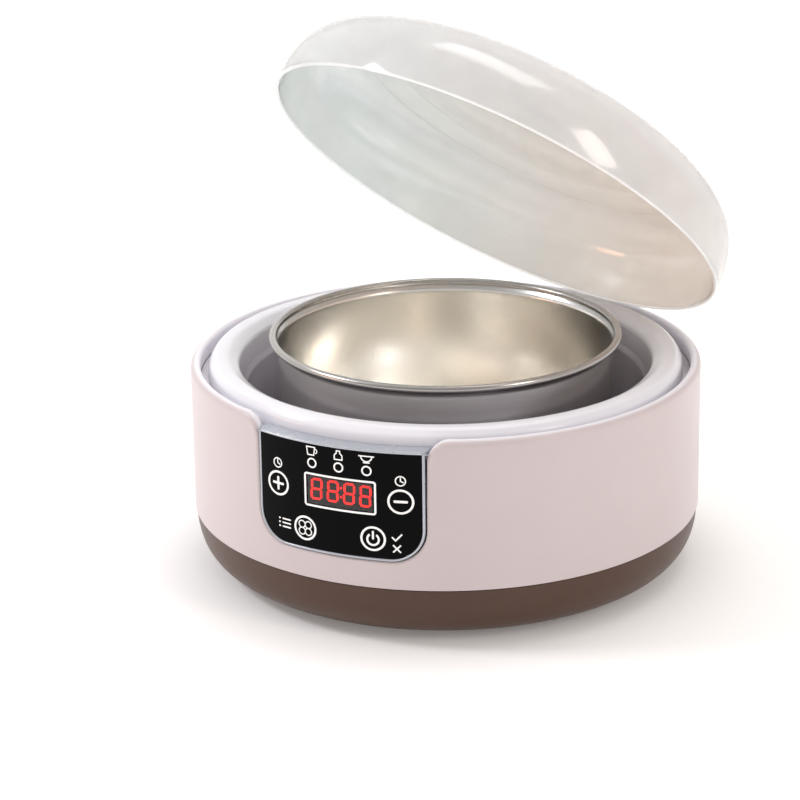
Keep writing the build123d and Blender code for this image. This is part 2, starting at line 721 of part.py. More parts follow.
def lid_dome():
    """Milky one-piece dome with a straight skirt and a small dish at its top, tipped up on its back edge."""
    skirt_z = LID_REST_Z + LID_SKIRT
    top = LID_REST_Z + LID_HEIGHT
    inner = LID_R - LID_WALL
    dome = turned(
        lines((inner, skirt_z), (inner, LID_REST_Z), (LID_R, LID_REST_Z), (LID_R, skirt_z)),
        dome_curve(LID_R, skirt_z, top),
        lines((0, top), (0, top - LID_WALL)),
        dome_curve(inner, skirt_z, top - LID_WALL),
    )
    dish_r = 8.0
    dish_depth = 0.6
    bowl = (dish_r**2 + dish_depth**2) / (2 * dish_depth)
    dome -= Pos(0, 0, top - dish_depth + bowl) * Sphere(bowl)
    dome += disc(0, 0, 1.2, top - LID_WALL, top - 0.2)
    return dome.rotate(tip_axis(), TIP_ANGLE)


PIECES = (
    outer_shell, base_housing, inner_well, power_inlet, inlet_pins,
    panel_bezel, panel_overlay, display_window, display_module, display_digits, indicator_lamps,
    touch_springs, control_board, board_screws, control_chip, buzzer, board_connectors,
    heating_plate, plate_gasket, plate_screws, heater_foil, thermistor, sensor_clip, thermal_fuse, fuse_clamp,
    power_board, power_board_screws, transformer, film_capacitor, smoothing_capacitors, triac,
    glass_fuse, fuse_clips, mains_leads, heater_leads, sensor_leads, ribbon_cable,
    base_screws, rubber_feet, steel_pot, lid_dome,
)

os.makedirs("parts", exist_ok=True)
for piece in PIECES:
    export_step(piece(), f"parts/{piece.__name__}.step")
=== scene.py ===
# %% [markdown]
# # A yogurt maker in Blender
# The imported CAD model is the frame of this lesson. It holds every part of the real machine in its true
# place: the moulded housing, the heated well, the touch panel with its boards, the pot and the lid.
# The frame comes in first and never moves. Pieces that everyone looks at are built again here with
# rounder edges, and the parts inside keep their CAD shape and get a finish of their own.

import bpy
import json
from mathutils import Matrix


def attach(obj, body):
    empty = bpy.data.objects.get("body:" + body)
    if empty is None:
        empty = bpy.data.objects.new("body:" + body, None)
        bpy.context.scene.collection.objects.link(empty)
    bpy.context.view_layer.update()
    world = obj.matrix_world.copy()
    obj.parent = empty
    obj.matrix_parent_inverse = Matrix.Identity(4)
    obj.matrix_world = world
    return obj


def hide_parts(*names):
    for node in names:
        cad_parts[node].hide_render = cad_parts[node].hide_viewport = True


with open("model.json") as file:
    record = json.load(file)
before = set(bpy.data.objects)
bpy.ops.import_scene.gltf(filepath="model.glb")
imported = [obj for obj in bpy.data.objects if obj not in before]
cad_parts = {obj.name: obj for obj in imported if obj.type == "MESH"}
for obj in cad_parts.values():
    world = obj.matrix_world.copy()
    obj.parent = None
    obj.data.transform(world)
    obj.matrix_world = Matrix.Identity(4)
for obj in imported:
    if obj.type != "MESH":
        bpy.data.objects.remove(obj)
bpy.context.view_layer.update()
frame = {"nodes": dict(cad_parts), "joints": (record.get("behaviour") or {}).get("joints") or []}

# %% Modules for the rest of the lesson
import json
import math

import bmesh
import bpy
from mathutils import Matrix, Vector
from mathutils.geometry import interpolate_bezier

MM = 0.001
FULL_TURN = 2 * math.pi

# %% [markdown]
# ## Camera
# The camera comes first, so that each piece can be judged from where the machine is usually seen: a
# little above it and to the right of its panel. A long lens keeps the round body from looking
# stretched, and the aim is left of the axis because the open lid leans out to the right.

# %% Place the camera
camera_data = bpy.data.cameras.new("camera")
camera_data.lens = 135
camera_data.sensor_width = 36
camera = bpy.data.objects.new("camera", camera_data)
camera.location = (0.47105, -1.04327, 0.47180)
aim = Vector((-0.02615, 0.01206, 0.05712))
level = (aim - camera.location).to_track_quat("-Z", "Y")
camera.rotation_mode = "QUATERNION"
camera.rotation_quaternion = level @ Matrix.Rotation(math.radians(-0.82), 3, "Z").to_quaternion()
bpy.context.scene.collection.objects.link(camera)
bpy.context.scene.camera = camera
print("camera", round((camera.location - aim).length, 3), "m from its aim")

# %% [markdown]
# ## Helpers for finishes
# A finish is one Principled shader. What is the same all over the surface is set on the shader's own
# sockets. What changes from place to place, such as grain or brushing, comes from a few nodes that
# read the piece's own coordinates in metres, so each pattern's scale follows from a size in
# millimetres.

# %% Colour, node and finish helpers
def colour(code):
    """Linear RGBA of an sRGB hex colour."""
    parts = [int(code[i:i + 2], 16) / 255 for i in (1, 3, 5)]
    return [p / 12.92 if p < 0.04045 else ((p + 0.055) / 1.055) ** 2.4 for p in parts] + [1.0]


def add(tree, kind, inputs=None, **settings):
    """Adds a node; an input is given by name or number, as a value or as another node's output."""
    made = tree.nodes.new("ShaderNode" + kind)
    for name, value in settings.items():
        setattr(made, name, value)
    for key, value in (inputs or {}).items():
        if isinstance(value, bpy.types.NodeSocket):
            tree.links.new(value, made.inputs[key])
        else:
            made.inputs[key].default_value = value
    return made


def per_mm(size):
    """Noise scale, per metre, that gives features of this many millimetres."""
    return 1 / (size * MM)


def finish(name, constants):
    """Empty finish: a Principled shader with its constants, and a place to read patterns from."""
    made = bpy.data.materials.new(name)
    made.use_nodes = True
    tree = made.node_tree
    tree.nodes.clear()
    shader = add(tree, "BsdfPrincipled", constants)
    add(tree, "OutputMaterial", {"Surface": shader.outputs["BSDF"]})
    place = add(tree, "TexCoord").outputs["Object"]
    return made, tree, shader, place


def vary(tree, shader, socket, factor, low, high):
    """Drives a shader socket between two values, or two hex colours, by a 0 to 1 factor."""
    if isinstance(low, str):
        mix = add(tree, "Mix", {0: factor, 6: colour(low), 7: colour(high)}, data_type="RGBA")
        tree.links.new(mix.outputs[2], shader.inputs[socket])
    else:
        span = add(tree, "MapRange", {"Value": factor, "To Min": low, "To Max": high})
        tree.links.new(span.outputs["Result"], shader.inputs[socket])


def relief(tree, shader, height, depth_mm, strength=1.0):
    """Bump from a 0 to 1 height, as deep as the real relief."""
    bump = add(tree, "Bump", {"Height": height, "Distance": depth_mm * MM, "Strength": strength})
    tree.links.new(bump.outputs["Normal"], shader.inputs["Normal"])


def overlay(made, measure, start_mm, end_mm, code):
    """Lays another colour over a finish as the radius or the height goes from start to end."""
    tree = made.node_tree
    shader = next(node for node in tree.nodes if node.type == "BSDF_PRINCIPLED")
    part = add(tree, "SeparateXYZ", {"Vector": add(tree, "TexCoord").outputs["Object"]})
    value = part.outputs["Z"]
    if measure == "radius":
        flat = add(tree, "CombineXYZ", {"X": part.outputs["X"], "Y": part.outputs["Y"]})
        value = add(tree, "VectorMath", {0: flat.outputs["Vector"]}, operation="LENGTH").outputs["Value"]
    share = add(tree, "MapRange", {"Value": value, "From Min": start_mm * MM, "From Max": end_mm * MM})
    under = shader.inputs["Base Color"].links[0].from_socket
    mix = add(tree, "Mix", {0: share.outputs["Result"], 6: under, 7: colour(code)}, data_type="RGBA")
    tree.links.new(mix.outputs[2], shader.inputs["Base Color"])


# %% [markdown]
# ## Moulded plastics
# Most of the machine is moulded ABS. A mould is either spark-eroded, which leaves an even satin grain
# of a few tenths of a millimetre, or polished, which leaves only the slight waviness of plastic that
# shrank as it cooled. Both also carry faint clouds of tone where the melt flowed. One recipe with the
# grain, its depth and the gloss as numbers covers them all.

# %% Recipe for moulded plastic
def moulded(name, low, high, gloss, grain_mm, depth_mm, cloud_mm=28, **extra):
    """Moulded plastic between two close colours and two roughness values."""
    constants = {"IOR": 1.5}
    constants.update({key.replace("_", " "): value for key, value in extra.items()})
    made, tree, shader, place = finish(name, constants)
    cloud = add(tree, "TexNoise", {"Vector": place, "Scale": per_mm(cloud_mm), "Detail": 3.0})
    vary(tree, shader, "Base Color", cloud.outputs["Fac"], low, high)
    smear = add(tree, "TexNoise", {"Vector": place, "Scale": per_mm(9), "Detail": 2.0})
    vary(tree, shader, "Roughness", smear.outputs["Fac"], gloss[0], gloss[1])
    grain = add(tree, "TexNoise", {"Vector": place, "Scale": per_mm(grain_mm), "Detail": 2.0})
    relief(tree, shader, grain.outputs["Fac"], depth_mm)
    return made


# Satin pearl-white ABS: the eye sees a soft pinkish white with a broad dull highlight.
SHELL = moulded("satin_white_abs", "#CCC0C1", "#D2C6C7", (0.28, 0.36), 0.6, 0.006,
                Subsurface_Weight=0.05, Subsurface_Scale=0.002)
# The inner side of its crest is tinted as cool and pale as the well. This is painted light on a face that the
# groove shades, chosen for the look; the real wall may well be one colour.
overlay(SHELL, "radius", 101.6, 100.4, "#F0EEF4")
# Polished cool-white ABS of the well: mirror-like but a little wavy.
WELL = moulded("gloss_white_abs", "#ECECF2", "#F3F2F7", (0.10, 0.16), 5.0, 0.010)
# The wall below the bead is tinted greyer. This stands in for the deep shade in the gap round the pot,
# and is not a colour of the plastic.
overlay(WELL, "height", 84.0, 75.0, "#DEDAE2")
# Satin cocoa ABS of the tub: a warm brown with an even spark-eroded grain.
TUB = moulded("satin_cocoa_abs", "#4A3427", "#52392C", (0.34, 0.44), 0.5, 0.012,
              Specular_IOR_Level=0.4)
# Plain black ABS and nylon for the inlet, the display block and small cases.
BLACK = moulded("black_nylon", "#131314", "#1C1C1E", (0.34, 0.48), 0.4, 0.012)
# Silver lacquer on ABS: the flakes give a soft grey sheen, so it is half metallic.
SILVER = moulded("silver_lacquer", "#B4BAC2", "#C2C7CE", (0.24, 0.32), 0.3, 0.003, Metallic=0.45)
# Gloss black film printed from behind: a hard flat gloss with nothing to see in it.
FILM = moulded("gloss_black_film", "#030304", "#050506", (0.10, 0.16), 7.0, 0.003, Specular_IOR_Level=0.06)
# White screen ink: matte, opaque and slightly uneven where the mesh laid it down.
# Its weak white emission is a painted glow that keeps it bright; real ink gives off no light.
INK = moulded("white_screen_ink", "#F2F2F0", "#FBFBFA", (0.50, 0.60), 0.25, 0.006,
              Emission_Color=colour("#FFFFFF"), Emission_Strength=0.12)
# Nylon plug housings, milky and slightly yellow.
NYLON = moulded("natural_nylon", "#DDD7C4", "#E9E3D2", (0.35, 0.45), 0.5, 0.010)
# Moulded silicone: grey-white, dull, and it lets a little light in.
SILICONE = moulded("white_silicone", "#BFC1C1", "#CFD1D1", (0.50, 0.60), 0.4, 0.010,
                   Subsurface_Weight=0.2, Subsurface_Scale=0.001)
# Rubber feet: nearly black brown, matte, with a dusty grain.
RUBBER = moulded("foot_rubber", "#37322F", "#47413D", (0.62, 0.75), 0.35, 0.020)
# Dipped box of the filter capacitor, and its gloss.
BOX = moulded("ochre_epoxy", "#B98F30", "#CBA03E", (0.18, 0.26), 1.5, 0.010)
# Lamp ends: clear resin full of diffuser, unlit.
LAMP = moulded("diffusing_resin", "#D9D6CE", "#E8E6DF", (0.12, 0.18), 2.0, 0.004, Transmission_Weight=0.35)
# Insulated leads: extruded PVC or silicone with faint lengthwise drag marks.
LEAD_BLUE = moulded("blue_pvc_lead", "#24509B", "#2F5FB2", (0.36, 0.46), 0.6, 0.008)
LEAD_WHITE = moulded("white_silicone_lead", "#DAD7D1", "#E9E7E3", (0.42, 0.52), 0.6, 0.008)
LEAD_BLACK = moulded("black_pvc_lead", "#1B1B1C", "#28282A", (0.36, 0.46), 0.6, 0.008)
LEAD_GREY = moulded("grey_ribbon_lead", "#8C8E92", "#A2A4A8", (0.36, 0.46), 0.6, 0.008)
print(len(bpy.data.materials), "moulded finishes")

# %% [markdown]
# ## Metals
# Metal shows how it was worked. A drawn pot is brushed as it spins on a lathe, so its scratches run
# round it and light stretches into upright bands. A turned plate carries fine rings. Plated screws and
# spring wire only have small random scuffs.

# %% Recipe for worked metal
def worked_metal(name, low, high, gloss, line_mm, depth_mm, spun=True, along=0.03, **extra):
    """Metal whose marks run round the Z axis when spun, or lie at random when not."""
    constants = {"Metallic": 1.0}
    constants.update({key.replace("_", " "): value for key, value in extra.items()})
    made, tree, shader, place = finish(name, constants)
    if spun:
        part = add(tree, "SeparateXYZ", {"Vector": place})
        x, y, z = part.outputs
        flat = add(tree, "CombineXYZ", {"X": x, "Y": y})
        reach = add(tree, "VectorMath", {0: flat.outputs["Vector"]}, operation="LENGTH")
        climb = add(tree, "Math", {0: reach.outputs["Value"], 1: z}, operation="ADD")
        fine = add(tree, "Math", {0: climb.outputs["Value"], 1: 1 / along}, operation="MULTIPLY")
        grain_place = add(tree, "CombineXYZ", {"X": x, "Y": y, "Z": fine.outputs["Value"]}).outputs["Vector"]
        scale = per_mm(line_mm) * along
    else:
        grain_place, scale = place, per_mm(line_mm)
    lines = add(tree, "TexNoise", {"Vector": grain_place, "Scale": scale, "Detail": 4.0, "Roughness": 0.65})
    cloud = add(tree, "TexNoise", {"Vector": place, "Scale": per_mm(25), "Detail": 2.0})
    vary(tree, shader, "Base Color", lines.outputs["Fac"], low, high)
    blend = add(tree, "Math", {0: lines.outputs["Fac"], 1: cloud.outputs["Fac"]}, operation="MULTIPLY")
    vary(tree, shader, "Roughness", blend.outputs["Value"], gloss[0], gloss[1])
    relief(tree, shader, lines.outputs["Fac"], depth_mm)
    if spun:
        tangent = add(tree, "Tangent", direction_type="RADIAL", axis="Z")
        tree.links.new(tangent.outputs["Tangent"], shader.inputs["Tangent"])
    return made


# 304 stainless steel, spun and brushed: a warm grey with fine scratches round it.
POT_STEEL = worked_metal("brushed_stainless_steel", "#C8C6C4", "#DCDAD7", (0.14, 0.38), 0.35, 0.002,
                         Anisotropic=0.6)
# The inside is tinted brighter and warmer. This stands in for light that white contents would throw on
# the wall, and is not a difference in the steel.
overlay(POT_STEEL, "radius", 67.0, 66.8, "#FFFCF6")
# The rolled rim is tinted darker as a painted reflection, since in this white room it has nothing dark to
# mirror.
overlay(POT_STEEL, "radius", 67.5, 68.0, "#B4B1AE")
# Cast aluminium with a turned face: paler than steel, rings a third of a millimetre apart.
PLATE = worked_metal("turned_aluminium", "#B9BBBE", "#D3D5D8", (0.26, 0.50), 0.35, 0.006, Anisotropic=0.4)
# Zinc-plated screws with a faint blue passivation.
ZINC = worked_metal("zinc_plated_steel", "#A9ACB0", "#C6C9CC", (0.25, 0.45), 0.8, 0.003, spun=False)
# Spring steel strip and wire, darker and harder-looking.
SPRING = worked_metal("spring_steel", "#85868A", "#A1A2A6", (0.22, 0.38), 0.6, 0.003, spun=False)
# Tin-plated brass contacts, soft and slightly yellow.
TINNED = worked_metal("tinned_brass", "#BDB9AE", "#D6D3CA", (0.22, 0.40), 0.7, 0.003, spun=False)
print("metals made")

# %% [markdown]
# ## Special finishes
# The lid is milky polypropylene: light goes through it, but nothing shows sharply behind it. The
# display sits behind a smoked lens, and its segments light up. Circuit boards are woven glass under a
# green mask, the heater is orange silicone with its glass cloth showing, and the transformer is
# wrapped in yellow tape.

# %% Lid, lens, light and glass
hinge = next(joint for joint in frame["joints"] if joint["name"] == "lid_tip")
PIVOT = Vector(hinge["pos_m"])
TIP = math.radians(-hinge["range_deg"][0])

LID, tree, shader, place = finish("milky_polypropylene", {
    "IOR": 1.49, "Subsurface Weight": 1.0, "Subsurface Radius": (1.0, 0.99, 0.98), "Subsurface Scale": 0.006,
    "Coat Weight": 0.4, "Coat Roughness": 0.02, "Emission Color": colour("#FFFFFF")})
closed = add(tree, "VectorRotate", {"Vector": place, "Center": PIVOT, "Axis": hinge["axis"], "Angle": -TIP})
swirl = add(tree, "TexWave", {"Vector": closed.outputs["Vector"], "Scale": per_mm(70), "Distortion": 3.0,
                              "Detail Scale": 0.6}, wave_type="RINGS", rings_direction="Z")
flow = add(tree, "TexNoise", {"Vector": place, "Scale": per_mm(22), "Detail": 1.0})
milk = add(tree, "Math", {0: swirl.outputs["Fac"], 1: flow.outputs["Fac"]}, operation="MULTIPLY")
vary(tree, shader, "Roughness", flow.outputs["Fac"], 0.07, 0.13)
vary(tree, shader, "Transmission Weight", milk.outputs["Value"], 0.74, 0.50)
relief(tree, shader, flow.outputs["Fac"], 0.04)
# The inside is tinted cool at the left of the dome and warm at the right, and darker than the outside. This is
# painted light and shade for what a real kitchen throws on it, and is not a colour of the plastic.
dome_heart = PIVOT + Matrix.Rotation(TIP, 3, Vector(hinge["axis"])) @ (Vector((0, 0, 60 * MM)) - PIVOT)
outwards = add(tree, "VectorMath", {0: place, 1: dome_heart}, operation="SUBTRACT")
facing = add(tree, "VectorMath", {0: add(tree, "TexCoord").outputs["Normal"], 1: outwards.outputs["Vector"]},
             operation="DOT_PRODUCT")
skin = add(tree, "MapRange", {"Value": facing.outputs["Value"], "From Min": -0.01, "From Max": 0.01})
across = add(tree, "SeparateXYZ", {"Vector": place}).outputs["X"]
side = add(tree, "MapRange", {"Value": across, "From Min": -70 * MM, "From Max": 60 * MM})
tints = add(tree, "Mix", {0: side.outputs["Result"], 6: colour("#DEE6E5"), 7: colour("#E9DCD1")},
            data_type="RGBA")
both = add(tree, "Mix", {0: skin.outputs["Result"], 6: tints.outputs[2], 7: colour("#EFF0F2")},
           data_type="RGBA")
tree.links.new(both.outputs[2], shader.inputs["Base Color"])
# Light that enters the wall comes out again, a little outside and more at its foot. A weak emission
# stands in for it, so this lid would glow faintly in the dark, which a real one doesn't.
height = add(tree, "SeparateXYZ", {"Vector": closed.outputs["Vector"]}).outputs["Z"]
edge = add(tree, "MapRange", {"Value": height, "From Min": 81.2 * MM, "From Max": 80.6 * MM, "To Max": 0.3})
sheen = add(tree, "Math", {0: skin.outputs["Result"], 1: 0.05, 2: edge.outputs["Result"]},
            operation="MULTIPLY_ADD")
tree.links.new(sheen.outputs["Value"], shader.inputs["Emission Strength"])

LENS, tree, shader, place = finish("smoked_acrylic", {
    "IOR": 1.49, "Transmission Weight": 1.0})
haze = add(tree, "TexNoise", {"Vector": place, "Scale": per_mm(6), "Detail": 2.0})
vary(tree, shader, "Base Color", haze.outputs["Fac"], "#8C7C7C", "#9A8A8A")
vary(tree, shader, "Roughness", haze.outputs["Fac"], 0.02, 0.05)

LIT, tree, shader, place = finish("lit_red_segment", {
    "Base Color": colour("#D01810"), "Roughness": 0.4, "Emission Strength": 5.0})
glow = add(tree, "TexNoise", {"Vector": place, "Scale": per_mm(3), "Detail": 1.0})
vary(tree, shader, "Emission Color", glow.outputs["Fac"], "#FF1408", "#FF2A1C")

GLASS, tree, shader, place = finish("fuse_glass", {"IOR": 1.5, "Transmission Weight": 1.0})
haze = add(tree, "TexNoise", {"Vector": place, "Scale": per_mm(4), "Detail": 1.0})
vary(tree, shader, "Base Color", haze.outputs["Fac"], "#E6ECEE", "#F4F8F9")
vary(tree, shader, "Roughness", haze.outputs["Fac"], 0.02, 0.08)
print("lid tips", round(math.degrees(TIP), 2), "degrees about", [round(c, 4) for c in PIVOT])

# %% Woven and wound finishes
def woven(name, low, high, thread_mm, gloss, depth_mm, axes=("X", "Y")):
    """Cloth of crossing threads under a coat, from two wave patterns at right angles."""
    made, tree, shader, place = finish(name, {"IOR": 1.5})
    waves = [add(tree, "TexWave", {"Vector": place, "Scale": per_mm(thread_mm) / 20, "Distortion": 0.4},
                 bands_direction=axis) for axis in axes]
    cross = add(tree, "Math", {0: waves[0].outputs["Fac"], 1: waves[1].outputs["Fac"]}, operation="MULTIPLY")
    cloud = add(tree, "TexNoise", {"Vector": place, "Scale": per_mm(12), "Detail": 2.0})
    both = add(tree, "Math", {0: cross.outputs["Value"], 1: cloud.outputs["Fac"]}, operation="ADD")
    half = add(tree, "Math", {0: both.outputs["Value"], 1: 0.5}, operation="MULTIPLY")
    vary(tree, shader, "Base Color", half.outputs["Value"], low, high)
    vary(tree, shader, "Roughness", cloud.outputs["Fac"], gloss[0], gloss[1])
    relief(tree, shader, cross.outputs["Value"], depth_mm)
    return made


BOARD = woven("green_solder_mask", "#14502D", "#237A48", 0.8, (0.16, 0.28), 0.010, axes=("X", "Z"))
HEATER = woven("glass_cloth_silicone", "#B24A17", "#D2632A", 1.0, (0.45, 0.60), 0.030)
WINDING = woven("yellow_tape_winding", "#C79A1E", "#E2BA3C", 4.0, (0.25, 0.40), 0.040, axes=("Y", "Z"))
print(len(bpy.data.materials), "finishes in all")

# %% Give each CAD node that stays its finish
KEPT = {
    TUB: ["base_housing"],
    BLACK: ["power_inlet", "display_module", "control_chip", "buzzer", "smoothing_capacitors", "triac"],
    TINNED: ["inlet_pins", "fuse_clips", "thermal_fuse"],
    FILM: ["panel_overlay"],
    LENS: ["display_window"],
    LIT: ["display_digits"],
    LAMP: ["indicator_lamps"],
    SPRING: ["touch_springs", "sensor_clip"],
    BOARD: ["control_board", "power_board"],
    ZINC: ["board_screws", "plate_screws", "power_board_screws", "base_screws"],
    NYLON: ["board_connectors", "fuse_clamp"],
    PLATE: ["heating_plate", "thermistor"],
    SILICONE: ["plate_gasket"],
    HEATER: ["heater_foil"],
    WINDING: ["transformer"],
    BOX: ["film_capacitor"],
    GLASS: ["glass_fuse"],
    LEAD_BLUE: ["mains_leads"],
    LEAD_WHITE: ["heater_leads"],
    LEAD_BLACK: ["sensor_leads"],
    LEAD_GREY: ["ribbon_cable"],
    RUBBER: ["rubber_feet"],
}
for made, names in KEPT.items():
    for name in names:
        for used in frame["nodes"][name].material_slots:
            used.material = made
print(sum(len(names) for names in KEPT.values()), "CAD nodes keep their shape")

# %% [markdown]
# ## Helpers for pieces
# The housing, well, pot and lid are all turned shapes. Each starts as its half section in the XZ
# plane: one face whose corners are rounded by a vertex bevel, as a turner would break them. The face
# is then dropped and its outline is spun once round the Z axis.

# %% Section, turning and piece helpers
def section(points, segments=6):
    """A bmesh with one face in the XZ plane from (x, z, corner radius) in millimetres."""
    bm = bmesh.new()
    corners = [bm.verts.new((x * MM, 0, z * MM)) for x, z, *_ in points]
    bm.faces.new(corners)
    count = len(points)
    for i, (x, z, *rounding) in enumerate(points):
        if not rounding:
            continue
        before = Vector(points[i - 1][:2]) - Vector((x, z))
        after = Vector(points[(i + 1) % count][:2]) - Vector((x, z))
        reach = rounding[0] / math.tan(before.angle(after) / 2)
        bmesh.ops.bevel(bm, geom=[corners[i]], offset=reach * MM, offset_type="OFFSET", affect="VERTICES",
                        segments=segments, profile=0.5, material=-1)
    return bm


def turn(bm, steps=240):
    """Spins the outline of a section once round Z and closes it at the axis."""
    bmesh.ops.delete(bm, geom=bm.faces[:], context="FACES_ONLY")
    bmesh.ops.spin(bm, geom=bm.verts[:] + bm.edges[:], cent=(0, 0, 0), axis=(0, 0, 1), dvec=(0, 0, 0),
                   angle=FULL_TURN, steps=steps, use_merge=True, space=Matrix())
    tidy(bm)
    return bm


def tidy(bm):
    """Merges doubles, drops loose edges and turns every face outwards."""
    bmesh.ops.remove_doubles(bm, verts=bm.verts[:], dist=0.002 * MM)
    loose = [edge for edge in bm.edges if not edge.link_faces]
    bmesh.ops.delete(bm, geom=loose, context="EDGES")
    bmesh.ops.recalc_face_normals(bm, faces=bm.faces[:])


def piece(name, bm, made, body, nodes=(), crease=35):
    """Makes the finished object: smooth, with creases past an angle, riding on its body."""
    mesh = bpy.data.meshes.new(name)
    open_edges = sum(1 for edge in bm.edges if len(edge.link_faces) != 2)
    bm.to_mesh(mesh)
    bm.free()
    mesh.materials.append(made)
    mesh.shade_smooth()
    mesh.set_sharp_from_angle(angle=math.radians(crease))
    thing = bpy.data.objects.new(name, mesh)
    bpy.context.scene.collection.objects.link(thing)
    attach(thing, body)
    if nodes:
        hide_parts(*nodes)
    print(name, len(mesh.polygons), "faces,", open_edges, "open edges")
    return thing


# %% [markdown]
# ## Plates wrapped on the housing
# The shell's front, the panel's frame and the printed marks all lie on the round side of the housing,
# but their outlines are drawn flat, as seen from the front. So they are made flat in the XZ plane
# first: an outline, insets that follow its edge, upright cuts, and a wall thickness. Then each point
# is pushed back onto the cylinder. Near an edge the push is deeper, along a quarter circle, and that
# is what rounds the edge all the way along its outline.

# %% Flat-plate helpers
def upright_cuts(bm, half, step):
    """Cuts the flat plate at even steps of X, so that it can follow the cylinder."""
    count = int(half / step)
    for i in range(-count, count + 1):
        bmesh.ops.bisect_plane(bm, geom=bm.verts[:] + bm.edges[:] + bm.faces[:], dist=1e-7,
                               plane_co=(i * step * MM, 0, 0), plane_no=(1, 0, 0))


def edge_rows(bm, reaches):
    """Insets the outline again and again, at these distances from it in millimetres."""
    done = 0
    core = bm.faces[:]
    for reach in reaches:
        bmesh.ops.inset_region(bm, faces=core, thickness=(reach - done) * MM, use_boundary=True,
                               use_even_offset=True)
        done = reach


def outline_of(bm):
    """The boundary edges as pairs of flat points in millimetres."""
    flat = [[Vector((v.co.x, v.co.z)) / MM for v in edge.verts] for edge in bm.edges if edge.is_boundary]
    return flat


def away(point, outline):
    """Distance in millimetres from a flat point to the nearest edge of an outline."""
    nearest = 1e9
    for start, end in outline:
        run = end - start
        share = max(0.0, min(1.0, (point - start).dot(run) / run.length_squared))
        nearest = min(nearest, (start + run * share - point).length)
    return nearest


def rounding(distance, radius):
    """Depth of a rounded edge below the surface at this distance in from the edge."""
    if distance >= radius or radius <= 0:
        return 0.0
    return radius - math.sqrt(radius ** 2 - (radius - distance) ** 2)


def smooth(value, low, high):
    """0 below low, 1 above high, and an easy curve between."""
    share = max(0.0, min(1.0, (value - low) / (high - low)))
    return share * share * (3 - 2 * share)


def wrap(bm, radius, depth):
    """Pushes flat points back onto a cylinder; depth(x, z, layer) is in millimetres below its side."""
    for vert in bm.verts:
        x, layer, z = vert.co / MM
        at = radius - depth(x, z, layer)
        vert.co = Vector((x, -math.sqrt(at ** 2 - x ** 2), z)) * MM


# %% [markdown]
# ## Outer shell
# The white wall is one moulding. Its crest turns in over the lid's groove, and at the front it is cut
# away for the panel, with the same soft edge running down both sides of the cut and under it. A plain
# turned ring can't have that edge, so the front is a wrapped plate, and the rest of the wall is
# spun from the plate's open end round the back to its other end.

# %% Draw the front of the shell flat
BODY_R = 102.49
SHELL_FOOT = 24.4
CREST_Z = 84.6
CREST_T = 3.9
SHELL_T = 2.2
LIP_Z = 78.2
FRONT_HALF = 54.0
front = section([
    (-60, SHELL_FOOT), (60, SHELL_FOOT), (60, CREST_Z), (34.9, CREST_Z, 8.0), (34.9, 35.5, 13.2),
    (-34.9, 35.5, 13.2), (-34.9, CREST_Z, 8.0), (-60, CREST_Z)], segments=14)
shell_edge = outline_of(front)
edge_rows(front, (0.12, 0.35, 0.7, 1.1, 1.6, 2.2, 2.7))
upright_cuts(front, FRONT_HALF, 1.8)
for side in (-1, 1):
    bmesh.ops.bisect_plane(front, geom=front.verts[:] + front.edges[:] + front.faces[:], dist=1e-7,
                           plane_co=(side * FRONT_HALF * MM, 0, 0), plane_no=(side, 0, 0), clear_outer=True)
for height in (LIP_Z, LIP_Z - 0.3, 60, 45, 30):
    bmesh.ops.bisect_plane(front, geom=front.verts[:] + front.edges[:] + front.faces[:], dist=1e-7,
                           plane_co=(0, 0, height * MM), plane_no=(0, 0, 1))
print("flat shell front", len(front.faces), "faces")

# %% Give it two skins and wrap it
def shell_depth(x, z, layer):
    """Outer skin: rounded at every edge. Inner skin: thick at the crest, thin below the lip."""
    distance = away(Vector((x, z)), shell_edge)
    crest = smooth(z, 70, CREST_Z)
    if abs(layer) < 0.5:
        return rounding(distance, 0.4 if z < 29 else 1.3 + 1.4 * crest)
    wall = SHELL_T + (CREST_T - SHELL_T) * smooth(z, LIP_Z - 0.3, LIP_Z)
    inner_round = 1.2 * smooth(z, CREST_Z - 3, CREST_Z - 1.2) * smooth(abs(x), 38, 46)
    return wall - rounding(distance, inner_round)


def shell_wrap(bm):
    """Wraps the front; near its open ends the wall's thickness turns to face the axis."""
    for vert in bm.verts:
        x, layer, z = vert.co / MM
        depth = shell_depth(x, z, layer)
        x *= 1 - smooth(abs(x), 46, FRONT_HALF - 0.5) * depth / BODY_R
        vert.co = Vector((x, -math.sqrt((BODY_R - depth) ** 2 - x ** 2), z)) * MM


bmesh.ops.solidify(front, geom=front.faces[:], thickness=1 * MM)
ends = [face for face in front.faces if all(abs(abs(v.co.x) - FRONT_HALF * MM) < 1e-6 for v in face.verts)]
bmesh.ops.delete(front, geom=ends, context="FACES_ONLY")
shell_wrap(front)
print("shell front", len(front.verts), "points,", sum(edge.is_boundary for edge in front.edges), "open edges")

# %% Spin the rest of the wall round the back
open_end = [edge for edge in front.edges if edge.is_boundary and edge.verts[0].co.x > 0]
end_points = list({vert for edge in open_end for vert in edge.verts})
half_angle = math.asin(FRONT_HALF / BODY_R)
bmesh.ops.spin(front, geom=open_end + end_points, cent=(0, 0, 0), axis=(0, 0, 1), dvec=(0, 0, 0),
               angle=FULL_TURN - 2 * half_angle, steps=296, use_merge=False, space=Matrix())
bmesh.ops.remove_doubles(front, verts=front.verts[:], dist=0.02 * MM)
tidy(front)
print("shell", len(front.faces), "faces, open edges", sum(edge.is_boundary for edge in front.edges))

# %% [markdown]
# The power inlet sits at the back in an opening with round ends. Its outline is convex, so one cut
# along each of its sides, made only through the faces still inside, leaves exactly the part to take
# out. The two skins are then bridged round the hole.

